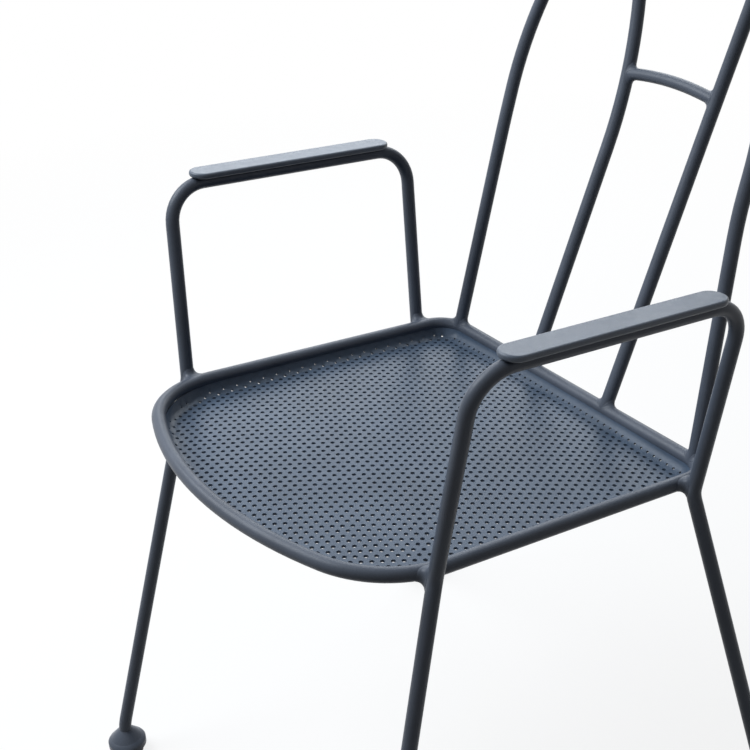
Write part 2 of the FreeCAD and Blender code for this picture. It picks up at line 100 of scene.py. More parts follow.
def share(name, description, default):
    """A factor property from 0 to 1."""
    return bpy.props.FloatProperty(name=name, description=description, default=default, min=0.0, max=1.0,
                                   subtype="FACTOR")


def power(name, description, default):
    """A lamp's power in watts."""
    return bpy.props.FloatProperty(name=name, description=description, default=default, min=0.0,
                                   subtype="POWER", unit="POWER")


class SeatRingSizes(bpy.types.PropertyGroup):
    """Centre line of the ring, and the plane it lies in."""
    bar_diameter: length("Bar diameter", "Diameter of the round bar", 0.0138)
    half_width: length("Half width", "From the middle of the seat to the ring's side", 0.2087)
    rear_station: length("Rear station", "From the seat's middle back to the rear rail", 0.1918)
    rear_corner: length("Rear corner", "Radius of the rear corners", 0.031)
    front_station: length("Front station", "From the seat's middle forward to the bow", 0.2267)
    bow_radius: length("Bow radius", "Radius of the bowed front", 0.406)
    front_corner: length("Front corner", "Radius of the front corners", 0.0918)
    height: length("Seat height", "Height of the ring's plane at the seat's middle", 0.4402)
    setback: offset("Seat middle", "Y of the seat's middle", -0.0452)
    slope: tilt("Slope", "How far the seat slopes down to the rear", 6.15)


class SeatPanelSizes(bpy.types.PropertyGroup):
    """The pressed, perforated sheet."""
    sheet_thickness: length("Sheet thickness", "Thickness of the punched sheet", 0.0025)
    depth: length("Depth", "Floor of the pan below the ring's plane at its highest", 0.0069)
    crown_radius: length("Crown radius", "Radius of the floor's crown", 4.5)
    crown_station: length("Crown station", "Behind the seat's middle, where the floor is highest", 0.040)
    rim_radius: length("Rim radius", "Inner radius with which the rim turns up", 0.011)
    rim_start: length("Rim start", "From the ring's centre line inwards to where the floor ends", 0.0175)
    rim_turn: tilt("Rim turn", "How far the rim turns up, as allowed for in the flat sheet", 70.0)
    clearance: length("Clearance", "Between the rim's edge and the ring", 0.0001)
    hole_pitch: length("Hole pitch", "Between the middles of neighbouring holes", 0.00905)
    hole_diameter: length("Hole diameter", "Diameter of the holes in the floor", 0.0045)
    rim_hole_diameter: length("Rim hole diameter", "Diameter of the highest holes on the rim", 0.0019)
    last_hole: length("Last hole", "Least distance of a hole's middle from the ring's centre line", 0.0092)
    first_row: length("Pattern station", "From the seat's middle forward to a hole on the centre line",
                      0.1021)


class SideFrameSizes(bpy.types.PropertyGroup):
    """Centre lines of the side frames, which their welds follow."""
    front_post: offset("Front post", "Station at which the front post passes the ring", -0.132)
    rear_post: offset("Rear post", "Station at which the rear post passes the ring", 0.156)
    rear_post_drop: length("Rear post drop", "From the ring's plane down to the rear post's bend", 0.006)
    weld_gap: length("Weld gap", "Between a post and the ring, before they are welded", 0.0002)
    arm_half_span: length("Arm half span", "From the chair's middle to an arm rail", 0.2543)
    arm_front: offset("Arm front", "Y of an arm rail's front corner", -0.1525)
    arm_rear: offset("Arm rear", "Y of an arm rail's rear corner", 0.1304)
    arm_front_rise: length("Arm front rise", "From the seat's middle up to the front corner", 0.2083)
    arm_rear_rise: length("Arm rear rise", "From the seat's middle up to the rear corner", 0.1783)
    arm_bend: length("Arm bend", "Radius of an arm rail's corners", 0.0381)
    post_bend: length("Post bend", "Radius of the bend where a post becomes a leg", 0.030)
    ankle_bend: length("Ankle bend", "Radius of the bend above a foot", 0.060)
    ankle_height: length("Ankle height", "Height at which a leg turns upright into its foot", 0.036)
    leg_end: length("Leg end", "Height at which a leg ends in its foot", 0.014)


class BackSizes(bpy.types.PropertyGroup):
    """Centre lines of the backrest's bars, which their welds follow."""
    hoop_half_base: length("Hoop half base", "From the chair's middle to the foot of the hoop", 0.1866)
    hoop_lean: tilt("Hoop lean", "How far the hoop's legs lean back", 14.77)
    hoop_taper: tilt("Hoop taper", "How far the hoop's legs lean towards each other", 3.47)
    hoop_bend_rise: length("Hoop knee", "From the foot of the hoop up to its knee", 0.2292)
    rod_half_base: length("Rod half base", "From the chair's middle to the foot of a rod", 0.0587)
    rod_middle_x: length("Rod middle", "From the chair's middle to a rod's middle bend", 0.0597)
    rod_middle_back: length("Rod middle back", "From the hoop's knee back to a middle bend", 0.0813)
    rod_middle_rise: length("Rod middle rise", "From the hoop's knee up to a middle bend", 0.0613)
    rod_middle_bend: length("Rod bend", "Radius of a rod's middle bend", 0.640)
    rod_upper_x: length("Rod top", "From the chair's middle to a rod's upper bend", 0.0802)
    rod_upper_back: length("Rod top back", "From the hoop's knee back to an upper bend", 0.1139)
    rod_upper_rise: length("Rod top rise", "From the hoop's knee up to an upper bend", 0.1783)
    crossbar_diameter: length("Crossbar diameter", "Diameter of the crossbar", 0.0123)
    crossbar_rise: length("Crossbar rise", "Middle of the crossbar above its ends", 0.005)
    crossbar_set_back: length("Crossbar set back", "Middle of the crossbar behind its ends", 0.002)


class WeldSizes(bpy.types.PropertyGroup):
    """Radii of the weld fillets."""
    post_fillet: length("Post fillet", "Between a post and the ring", 0.007)
    base_fillet: length("Base fillet", "Between the back's bars and the rear rail", 0.0065)
    rod_fillet: length("Rod fillet", "Between the crossbar and the inner rods", 0.006)


class NeckSizes(bpy.types.PropertyGroup):
    """The necks between the bun feet and the legs."""
    base_radius: length("Base radius", "Radius where a neck leaves the foot", 0.0176)
    bottom: length("Bottom", "Height at which a neck leaves the foot's dome", 0.0206)
    top: length("Top", "Height at which a neck ends in the leg", 0.0325)
    swell: length("Swell", "How far the slope swells out at its middle", 0.0004)
    sunk: length("Sunk", "How deep the upper edge lies in the leg", 0.0004)


class FinishColours(bpy.types.PropertyGroup):
    """Colours and gloss of the powder coat."""
    bar: colour("Bar", "Charcoal powder coat of the bars", (0.078, 0.091, 0.117))
    # The sheet's colour is darker and bluer than the bars' though it is the same coat: painted shade.
    sheet: colour("Sheet", "The same coat on the punched sheet", (0.050, 0.074, 0.112))
    # The pads' colour is a little bluer than the bars' though it is the same coat: a painted tint of the
    # cool light that falls on them.
    pad: colour("Pad", "The same coat on the armrest pads", (0.070, 0.090, 0.122))
    glide: colour("Glide", "Plastic of the glides", (0.012, 0.012, 0.013))
    gloss: share("Roughness", "Roughness of the powder coat", 0.38)
    foot_gloss: share("Foot roughness", "Roughness of the powder coat on the bun feet", 0.34)


class StageSettings(bpy.types.PropertyGroup):
    """Floor, lamps and camera."""
    floor: colour("Floor", "Colour of the floor", (0.86, 0.86, 0.86))
    bounce: colour("Bounce", "Colour of the floor in the light that it sends back up", (0.12, 0.12, 0.12))
    surround: share("Surround", "Light from all round", 0.06)
    surround_colour: colour("Surround colour", "Colour of the light from all round", (0.93, 0.96, 1.0))
    lamp_colour: colour("Lamp colour", "Colour of both lamps", (0.90, 0.95, 1.0))
    lamp_target: point("Lamp target", "The point that both lamps face", (0.0, 0.0, 0.45))
    far_lamp: power("Far lamp", "Power of the wide lamp behind the chair", 46.0)
    far_place: point("Far lamp's place", "Behind the chair and to its right", (-1.5, 1.3, 1.9))
    far_side: length("Far lamp's side", "Side of the square wide lamp", 2.4)
    key_lamp: power("Key lamp", "Power of the lamp above the chair's front right", 54.0)
    key_place: point("Key lamp's place", "Above the chair's front right", (-1.0, -0.95, 2.0))
    key_side: length("Key lamp's side", "Side of the square key lamp", 1.5)
    camera_place: point("Camera place", "The camera's place", (1.03685, -0.70926, 1.17581))
    azimuth: tilt("Azimuth", "From the chair's front round to the camera", 56.6307)
    elevation: tilt("Elevation", "How far the camera looks down", 26.9377)
    roll: tilt("Roll", "Turn of the camera round its line of sight", -3.50)
    lens: bpy.props.FloatProperty(name="Lens", description="Focal length", default=71.09,
                                  subtype="DISTANCE_CAMERA")
    sensor: bpy.props.FloatProperty(name="Sensor", description="Width of the sensor", default=36.0,
                                    subtype="DISTANCE_CAMERA")
    shift: bpy.props.FloatVectorProperty(name="Shift", description="Shift of the lens across and up",
                                         default=(-0.0663, -0.0603), size=2)


# Mesh helpers


def new_piece(name, points, faces, sharp_from=radians(50)):
    """A mesh object of the points, in metres, and of arrays of faces with equal counts of corners."""
    mesh = bpy.data.meshes.new(name)
    mesh.vertices.add(len(points))
    mesh.vertices.foreach_set("co", np.asarray(points, np.float32).ravel())
    corners = np.concatenate([group.ravel() for group in faces])
    counts = np.concatenate([np.full(len(group), group.shape[1]) for group in faces])
    starts = np.concatenate([[0], np.cumsum(counts)[:-1]])
    mesh.loops.add(len(corners))
    mesh.loops.foreach_set("vertex_index", corners.astype(np.int32))
    mesh.polygons.add(len(counts))
    mesh.polygons.foreach_set("loop_start", starts.astype(np.int32))
    mesh.update(calc_edges=True)
    mesh.validate()
    mesh.shade_smooth()
    mesh.set_sharp_from_angle(angle=sharp_from)
    piece = bpy.data.objects.new(name, mesh)
    bpy.context.scene.collection.objects.link(piece)
    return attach(piece, "root")


def unit(vectors):
    """The vectors at length one."""
    return vectors / np.linalg.norm(vectors, axis=-1, keepdims=True)


def joined(grids):
    """Several (points, faces) pairs as one pair."""
    points = np.concatenate([pair[0] for pair in grids])
    offsets = np.cumsum([0] + [len(pair[0]) for pair in grids[:-1]])
    return points, np.concatenate([pair[1] + offset for pair, offset in zip(grids, offsets)])


def mirrored(points, sign):
    """The points, with X times the sign."""
    return points * np.array([sign, 1.0, 1.0])


# Seat ring, as a distance


def seat_axes(ring):
    """The seat's middle, and its directions across, along and square to the slope."""
    origin = np.array([0.0, ring.setback, ring.height])
    along = np.array([0.0, cos(ring.slope), -sin(ring.slope)])
    normal = np.array([0.0, sin(ring.slope), cos(ring.slope)])
    return origin, np.array([1.0, 0.0, 0.0]), along, normal


def to_seat(ring, points):
    """Points of space as X, station and level of the seat."""
    origin, across, along, normal = seat_axes(ring)
    return (points - origin) @ np.stack([across, along, normal]).T


def from_seat(ring, places):
    """X, station and level of the seat as points of space."""
    origin, across, along, normal = seat_axes(ring)
    return origin + places @ np.stack([across, along, normal])


def inside_ring(ring, plan):
    """Distance inwards from the ring's centre line, and the inward direction, for (n, 2) plan points.

    It is the least of the distances from the sides, the rear rail and the bow, but within the fan of a
    corner's arc it is that arc's radius less the distance from its middle.
    """
    x, station = np.abs(plan[:, 0]), plan[:, 1]
    rear_x = ring.half_width - ring.rear_corner
    rear_y = ring.rear_station - ring.rear_corner
    front_x = ring.half_width - ring.front_corner
    bow_y = ring.bow_radius - ring.front_station
    front_y = bow_y - sqrt((ring.bow_radius - ring.front_corner) ** 2 - front_x ** 2)
    none = np.zeros_like(x)
    straights = np.stack([ring.half_width - x, ring.rear_station - station,
                          ring.bow_radius - np.hypot(x, bow_y - station)])
    headings = np.stack([np.stack([none - 1.0, none], 1), np.stack([none, none - 1.0], 1),
                         unit(np.stack([-x, bow_y - station], 1))])
    nearest = straights.argmin(axis=0)
    rows = np.arange(len(x))
    distance, inward = straights[nearest, rows], headings[nearest, rows]
    corners = (((x >= rear_x) & (station >= rear_y), rear_x, rear_y, ring.rear_corner),
               ((x >= front_x * (bow_y - station) / (bow_y - front_y)) & (station <= front_y),
                front_x, front_y, ring.front_corner))
    for mask, centre_x, centre_y, radius in corners:
        away = np.stack([x - centre_x, station - centre_y], 1)
        reach = np.maximum(np.linalg.norm(away, axis=1), 1e-9)
        distance = np.where(mask, radius - reach, distance)
        inward = np.where(mask[:, None], -away / reach[:, None], inward)
    inward[:, 0] *= np.where(plan[:, 0] < 0, -1.0, 1.0)
    return distance, inward


def ring_distance(ring, points):
    """Distance from the ring's centre line, and the nearest point of that line."""
    places = to_seat(ring, points)
    inside, inward = inside_ring(ring, places[:, :2])
    nearest = places.copy()
    nearest[:, :2] -= inward * inside[:, None]
    nearest[:, 2] = 0.0
    return np.hypot(inside, places[:, 2]), from_seat(ring, nearest)


def rear_rail_point(ring, x):
    """The rear rail's centre line at this X, which may lie on the arc of a rear corner."""
    beyond = max(0.0, x - (ring.half_width - ring.rear_corner))
    station = ring.rear_station - ring.rear_corner + sqrt(ring.rear_corner ** 2 - beyond ** 2)
    return from_seat(ring, np.array([x, station, 0.0]))


# Seat panel

# The angles at which the rim may end
RIM_ANGLES = np.linspace(0.0, radians(88), 177)
# No part of the seat is further from its middle
SEAT_REACH = 0.3
# How far past the flat sheet's edge the middle of a cell may lie, in pitches
EDGE_SHARE = 0.15
# Corners of neighbouring cells that are nearer than this are one
SAME_CORNER = 0.02 * MM
CELL_POINTS = 12


def pan_floor(panel, plan):
    """Level of the floor: a shallow cap of a large sphere, below the ring's plane."""
    crown = plan[:, 0] ** 2 + (plan[:, 1] - panel.crown_station) ** 2
    return -panel.depth - crown / (2 * panel.crown_radius)


def pressed(ring, panel, plan, below):
    """Where points of the flat punched sheet lie once it is pressed, on its top or its underside.

    Inside the rim's start the sheet keeps its plan and takes the crown's level. Nearer to the edge it
    follows a quarter circle upwards: the way from the rim's start is the arc's length. It ends where it
    meets the bar, which is found by stepping the arc's angle until the distance to the bar is right.
    """
    inside, inward = inside_ring(ring, plan)
    lower = panel.sheet_thickness if below else 0.0
    radius = panel.rim_radius + lower
    contact = ring.bar_diameter / 2 + panel.clearance
    at_start = plan + inward * (panel.rim_start - inside)[:, None]
    floor_here = pan_floor(panel, np.where((inside < panel.rim_start)[:, None], at_start, plan))
    away = np.hypot(panel.rim_start - radius * np.sin(RIM_ANGLES)[None, :],
                    floor_here[:, None] + panel.rim_radius - radius * np.cos(RIM_ANGLES)[None, :])
    clear = np.cumprod(away > contact, axis=1).astype(bool)
    last = RIM_ANGLES[np.maximum(clear.sum(axis=1) - 1, 0)]
    angle = np.clip((panel.rim_start - inside) / panel.rim_radius, 0.0, last)
    on_rim = angle > 0
    level = floor_here + panel.rim_radius - radius * np.cos(angle)
    shift = panel.rim_start - radius * np.sin(angle) - inside
    place = plan + inward * np.where(on_rim, shift, 0.0)[:, None]
    return from_seat(ring, np.column_stack([place, level]))


def punched_sheet(ring, panel):
    """The whole pressed sheet as points and faces.

    The flat sheet is a honeycomb: each six-sided cell has twelve boundary points, at its corners and the
    middles of its sides, round a hole of twelve sides. Holes get narrower up the rim, and cells too near
    the edge have none. A cell whose middle lies past the flat sheet's edge by more than a share of the
    pitch is left out, and boundary points of the outermost cells are drawn out to the ring.
    """
    pitch, row_step = panel.hole_pitch, panel.hole_pitch * sin(radians(60))
    reach = int(SEAT_REACH / row_step)
    row, place = np.meshgrid(np.arange(-reach, reach + 1), np.arange(-reach, reach + 1), indexing="ij")
    centres = np.column_stack([(pitch * (place + 0.5 * (row % 2))).ravel(),
                               (row_step * row).ravel() - panel.first_row])
    flat_edge = panel.rim_start - panel.rim_radius * panel.rim_turn
    inside = inside_ring(ring, centres)[0]
    centres = centres[inside > flat_edge - EDGE_SHARE * pitch]
    inside = inside_ring(ring, centres)[0]
    punched = inside > panel.last_hole

    turns = np.arange(CELL_POINTS)
    angle = 2 * np.pi / CELL_POINTS * turns
    apothem = pitch / 2
    spoke = np.where(turns % 2 == 0, apothem, apothem / cos(radians(30)))
    star = np.column_stack([np.cos(angle), np.sin(angle)])
    outline = centres[:, None, :] + (star * spoke[:, None])[None, :, :]
    keys = np.round(outline.reshape(-1, 2) / SAME_CORNER).astype(np.int64)
    _, first, cell = np.unique(keys, axis=0, return_index=True, return_inverse=True)
    corners = outline.reshape(-1, 2)[first]
    cell = cell.reshape(-1, CELL_POINTS)

    sides = np.stack([cell, np.roll(cell, -1, axis=1)], axis=2).reshape(-1, 2)
    forward = sides[:, 0] * len(corners) + sides[:, 1]
    backward = sides[:, 1] * len(corners) + sides[:, 0]
    border = sides[~np.isin(forward, backward)]
    on_border = np.unique(border)
    border_inside, inward = inside_ring(ring, corners[on_border])
    corners[on_border] -= inward * border_inside[:, None]
    on_floor = np.clip((inside[punched] - panel.last_hole) / (panel.rim_start - panel.last_hole), 0.0, 1.0)
    hole = panel.rim_hole_diameter + on_floor * (panel.hole_diameter - panel.rim_hole_diameter)
    holes = (centres[punched][:, None, :] + star[None] * hole[:, None, None] / 2).reshape(-1, 2)
    middles = centres[~punched]
    plan = np.concatenate([corners, holes, middles])
    count = len(plan)
    points = np.concatenate([pressed(ring, panel, plan, False), pressed(ring, panel, plan, True)])

    rims = len(corners) + np.arange(punched.sum() * CELL_POINTS).reshape(-1, CELL_POINTS)
    following = np.roll(cell, -1, axis=1)
    rims_following = np.roll(rims, -1, axis=1)
    webs = np.stack([cell[punched], following[punched], rims_following, rims], 2).reshape(-1, 4)
    hubs = (len(corners) + len(holes) + np.arange(len(middles)))[:, None]
    fans = np.stack([cell[~punched], following[~punched],
                     np.broadcast_to(hubs, (len(middles), CELL_POINTS))], 2).reshape(-1, 3)
    walls = np.stack([rims, rims_following, rims_following + count, rims + count], 2).reshape(-1, 4)
    edge = np.stack([border[:, 1], border[:, 0], border[:, 0] + count, border[:, 1] + count], 1)
    return points, [webs, webs[:, ::-1] + count, fans, fans[:, ::-1] + count, walls, edge]


# Centre lines

ARC_POINTS = 60
# How often a post is moved towards the ring, and the spacing of the points that their gap is taken from
CONTACT_STEPS = 6
CONTACT_SPACING = 0.2 * MM


def bend(before, corner, after, radius):
    """An arc that rounds a corner: its middle, the spokes from there to its two ends, and half its turn."""
    back, ahead = unit(before - corner), unit(after - corner)
    half = (np.pi - acos(float(back @ ahead))) / 2
    centre = corner + unit(back + ahead) * radius / cos(half)
    run = radius * tan(half)
    return centre, corner + back * run - centre, corner + ahead * run - centre, half


def bar_line(corners, bends):
    """A centre line: straight runs through the corners, with an arc of its radius at each inner one."""
    runs = [corners[:1]]
    part = np.linspace(0.0, 1.0, ARC_POINTS)[:, None]
    for before, corner, after, radius in zip(corners, corners[1:], corners[2:], bends):
        centre, start, end, half = bend(before, corner, after, radius)
        runs.append(centre + (np.sin((1 - part) * 2 * half) * start
                              + np.sin(part * 2 * half) * end) / sin(2 * half))
    runs.append(corners[-1:])
    return np.concatenate(runs)


def spread(line, spacing=MM):
    """A centre line with points a spacing or so apart on its straight runs as well."""
    runs = [np.linspace(a, b, max(2, int(np.linalg.norm(b - a) / spacing)), endpoint=False)
            for a, b in zip(line[:-1], line[1:])]
    return np.concatenate(runs + [line[-1:]])


def line_distance(line, points):
    """Distance from a centre line and its nearest point, over all its short runs at once."""
    start, run = line[:-1], np.diff(line, axis=0)
    away = points[:, None, :] - start[None]
    along = np.clip((away * run).sum(2) / (run ** 2).sum(1), 0.0, 1.0)
    nearest = start[None] + run[None] * along[..., None]
    gaps = np.linalg.norm(points[:, None, :] - nearest, axis=2)
    best = gaps.argmin(axis=1)
    rows = np.arange(len(points))
    return gaps[rows, best], nearest[rows, best]


def closest_approach(ring, line):
    """The point of a finely spaced line that is nearest to the ring, and the ring's point nearest to it."""
    gap, nearest = ring_distance(ring, line)
    best = gap.argmin()
    return line[best], nearest[best]


def over_foot(foot, height):
    """The point at a height over the middle of one of the frame's feet."""
    low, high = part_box(foot + "_foot")
    return np.array([(low.x + high.x) / 2, (low.y + high.y) / 2, height])


def post_corner(ring, sizes, station, drop, ankle, arm):
    """The corner between a leg and its post, beside the ring at a station.

    It starts beside the ring's straight side, a drop below the ring's plane in line with the arm rail's
    corner. It then moves sideways, step by step, by what the post's distance to the ring is short of or
    over the distance of two bars that touch.
    """
    touching = ring.bar_diameter + sizes.weld_gap
    corner = from_seat(ring, np.array([ring.half_width + touching, station, 0.0]))
    corner = corner + unit(corner - arm) * drop
    for _ in range(CONTACT_STEPS):
        post = spread(bar_line(np.stack([ankle, corner, arm]), [sizes.post_bend]), CONTACT_SPACING)
        corner[0] += touching - ring_distance(ring, post)[0].min()
    return corner


def side_frame_line(ring, sizes):
    """The left side frame's centre line: front leg and post, arm rail, rear post and leg."""
    front_ankle, rear_ankle = (over_foot(foot, sizes.ankle_height) for foot in ("front_left", "rear_left"))
    arm_front = np.array([sizes.arm_half_span, sizes.arm_front, ring.height + sizes.arm_front_rise])
    arm_rear = np.array([sizes.arm_half_span, sizes.arm_rear, ring.height + sizes.arm_rear_rise])
    corners = np.stack([
        over_foot("front_left", sizes.leg_end),
        front_ankle,
        post_corner(ring, sizes, sizes.front_post, 0.0, front_ankle, arm_front),
        arm_front,
        arm_rear,
        post_corner(ring, sizes, sizes.rear_post, sizes.rear_post_drop, rear_ankle, arm_rear),
        rear_ankle,
        over_foot("rear_left", sizes.leg_end)])
    return spread(bar_line(corners, [sizes.ankle_bend, sizes.post_bend, sizes.arm_bend,
                                     sizes.arm_bend, sizes.post_bend, sizes.ankle_bend]))


def hoop_leg(ring, back):
    """Foot and knee of the hoop's left leg, which leans back and inwards."""
    foot = rear_rail_point(ring, back.hoop_half_base)
    heading = np.array([-sin(back.hoop_taper), sin(back.hoop_lean) * cos(back.hoop_taper),
                        cos(back.hoop_lean) * cos(back.hoop_taper)])
    return np.stack([foot, foot + heading * back.hoop_bend_rise / heading[2]])


def rod_corners(ring, back):
    """Corners of the left inner rod, from its foot on the rear rail to its upper bend."""
    knee_y, knee_z = hoop_leg(ring, back)[1, 1:]
    return np.array([
        rear_rail_point(ring, back.rod_half_base),
        (back.rod_middle_x, knee_y + back.rod_middle_back, knee_z + back.rod_middle_rise),
        (back.rod_upper_x, knee_y + back.rod_upper_back, knee_z + back.rod_upper_rise)])


def crossbar_line(ring, back):
    """The crossbar's centre line, from right to left between the rods' middle bends.

    It is a parabola over its span, and its middle lies a little behind and above its ends.
    """
    centre, start, end, _ = bend(*rod_corners(ring, back), back.rod_middle_bend)
    half_span, end_y, end_z = centre + unit(start + end) * back.rod_middle_bend
    part = np.linspace(-1.0, 1.0, ARC_POINTS)
    return np.column_stack([half_span * part, end_y + back.crossbar_set_back * (1 - part ** 2),
                            end_z + back.crossbar_rise * (1 - part ** 2)])


# Weld fillets and necks

# What a ball leaves of weld on a bar, and the length of bar to each side in which it is looked for
WELD_HAIR = 0.25 * MM
WELD_REACH = 60 * MM
# Newton's steps: their number and greatest length, the nudge that slopes are taken over, and the damping
NEWTON_STEPS = 60
LONGEST_STEP = 2 * MM
NUDGE = 0.01 * MM
DAMPING = 1e-4
# A direction that no weld's axis has, and the cosine at which a ball's arc counts as shut
NO_WELD_AXIS = (0.3, 0.8, 0.5)
ALMOST_SHUT = 0.9999


def fillet(first_distance, second_distance, radii, middle, axis, ball, start, rounds=56, steps=10):
    """The surface of a weld between two bars, as points and faces: a ball rolls in the corner.

    The ball's middle lies a bar's radius, a hair of weld and its own radius from each centre line. For
    each direction round the axis, Newton's steps find its way out from the middle and its way along the
    axis, beginning at start. The surface is the ball's arc from one bar to the other, and its two ends
    are sunk into the bars by a hair.
    """
    axis = unit(np.asarray(axis, float))
    aside = unit(np.cross(axis, NO_WELD_AXIS))
    upright = np.cross(axis, aside)
    turn = np.arange(rounds) * 2 * np.pi / rounds
    outward = np.cos(turn)[:, None] * aside + np.sin(turn)[:, None] * upright
    reach, along = np.full(rounds, start[0]), np.full(rounds, start[1])

    def place(out, up):
        return middle + outward * out[:, None] + axis * up[:, None]

    def miss(out, up):
        where = place(out, up)
        return np.stack([first_distance(where)[0] - radii[0] - WELD_HAIR - ball,
                         second_distance(where)[0] - radii[1] - WELD_HAIR - ball], 1)

    for _ in range(NEWTON_STEPS):
        here = miss(reach, along)
        slope = np.stack([miss(reach + NUDGE, along) - here, miss(reach, along + NUDGE) - here], 2) / NUDGE
        turned = np.swapaxes(slope, 1, 2)
        step = np.linalg.solve(turned @ slope + DAMPING * np.eye(2), turned @ here[..., None])[..., 0]
        step = np.clip(step, -LONGEST_STEP, LONGEST_STEP)
        reach, along = reach - step[:, 0], along - step[:, 1]
    left_over = np.abs(miss(reach, along)).max()
    if left_over > WELD_HAIR:
        raise RuntimeError("a weld's ball does not touch both bars: %.2f mm off" % (left_over / MM))
    ball_middle = place(reach, along)
    on_first, on_second = first_distance(ball_middle)[1], second_distance(ball_middle)[1]
    to_first, to_second = unit(on_first - ball_middle), unit(on_second - ball_middle)
    opening = np.arccos(np.clip((to_first * to_second).sum(1), -1.0, ALMOST_SHUT))[:, None, None]
    part = np.linspace(0.0, 1.0, steps + 1)[None, :, None]
    spokes = np.sin((1 - part) * opening) * to_first[:, None] + np.sin(part * opening) * to_second[:, None]
    points = ball_middle[:, None] + spokes / np.sin(opening) * ball
    points[:, 0] = on_first - to_first * (radii[0] - WELD_HAIR)
    points[:, -1] = on_second - to_second * (radii[1] - WELD_HAIR)
    row, column = np.meshgrid(np.arange(rounds), np.arange(steps), indexing="ij")
    ahead = (row + 1) % rounds
    width = steps + 1
    faces = np.stack([row * width + column, row * width + column + 1,
                      ahead * width + column + 1, ahead * width + column], 2).reshape(-1, 4)
    points = points.reshape(-1, 3)
    corner = points[faces]
    face_normal = np.cross(corner[:, 1] - corner[:, 0], corner[:, 2] - corner[:, 0])
    towards_ball = np.repeat(ball_middle, steps, axis=0) - corner.mean(axis=1)
    if (face_normal * towards_ball).sum() < 0:
        faces = faces[:, ::-1]
    return points, faces


def post_welds(ring, sizes, welds, side):
    """The fillets between the ring and the posts of one side, which pass it side by side."""
    radius = ring.bar_diameter / 2
    start = (2.4 * radius, 0.0)
    line = mirrored(side_frame_line(ring, sizes), side)
    line = line[np.abs(line[:, 2] - ring.height) < WELD_REACH]
    made = []
    for post in (line[line[:, 1] < ring.setback], line[line[:, 1] > ring.setback]):
        on_post, on_ring = closest_approach(ring, post)
        made.append(fillet(lambda p: ring_distance(ring, p), lambda p: line_distance(post, p),
                           (radius, radius), (on_post + on_ring) / 2, on_post - on_ring,
                           welds.post_fillet, start))
    return made


def base_welds(ring, back, welds, side):
    """The fillets where the hoop's leg and the inner rod of one side stand on the rear rail."""
    radius = ring.bar_diameter / 2
    start = (2 * radius, 2 * radius)
    made = []
    for corners in (hoop_leg(ring, back), rod_corners(ring, back)[:2]):
        foot, above = mirrored(corners, side)
        heading = unit(above - foot)
        line = np.stack([foot - heading * WELD_REACH, foot + heading * WELD_REACH])
        made.append(fillet(lambda p: ring_distance(ring, p), lambda p: line_distance(line, p),
                           (radius, radius), foot, heading, welds.base_fillet, start))
    return made


def crossbar_weld(ring, back, welds, side):
    """The fillet where the crossbar meets the inner rod of one side."""
    radius = ring.bar_diameter / 2
    rod = bar_line(mirrored(rod_corners(ring, back), side), [back.rod_middle_bend])
    crossbar = crossbar_line(ring, back)
    end = crossbar[-1] if side == LEFT else crossbar[0]
    inwards_and_up = (-side, 0.0, 0.15)
    start = (2 * radius, 2 * radius)
    return fillet(lambda p: line_distance(rod, p), lambda p: line_distance(crossbar, p),
                  (radius, back.crossbar_diameter / 2), end, inwards_and_up, welds.rod_fillet, start)


def neck(sizes, leg_radius, centre, rounds=48, steps=12):
    """A cone round a leg's end, as points and faces: a straight slope, swelled by half a wave of a sine."""
    part = np.linspace(0.0, 1.0, steps + 1)
    narrowing = leg_radius - sizes.sunk - sizes.base_radius
    radius = sizes.base_radius + narrowing * part + sizes.swell * np.sin(np.pi * part)
    height = sizes.bottom + (sizes.top - sizes.bottom) * part
    turn = (np.arange(rounds) * 2 * np.pi / rounds)[:, None]
    points = np.stack([centre[0] + radius * np.cos(turn), centre[1] + radius * np.sin(turn),
                       np.broadcast_to(height, (rounds, steps + 1))], 2).reshape(-1, 3)
    row, column = np.meshgrid(np.arange(rounds), np.arange(steps), indexing="ij")
    here, ahead = row * (steps + 1) + column, (row + 1) % rounds * (steps + 1) + column
    return points, np.stack([here, ahead, ahead + 1, here + 1], 2).reshape(-1, 4)


# Materials: node sockets with arithmetic


class Value:
    """An output socket; arithmetic on it adds Math nodes to its tree."""

    def __init__(self, shading, socket):
        self.shading, self.socket = shading, socket

    def _math(self, operation, first, second):
        return self.shading.node("ShaderNodeMath", {"operation": operation}, {0: first, 1: second})

    def __add__(self, other):
        return self._math("ADD", self, other)

    __radd__ = __add__

    def __mul__(self, other):
        return self._math("MULTIPLY", self, other)

    __rmul__ = __mul__


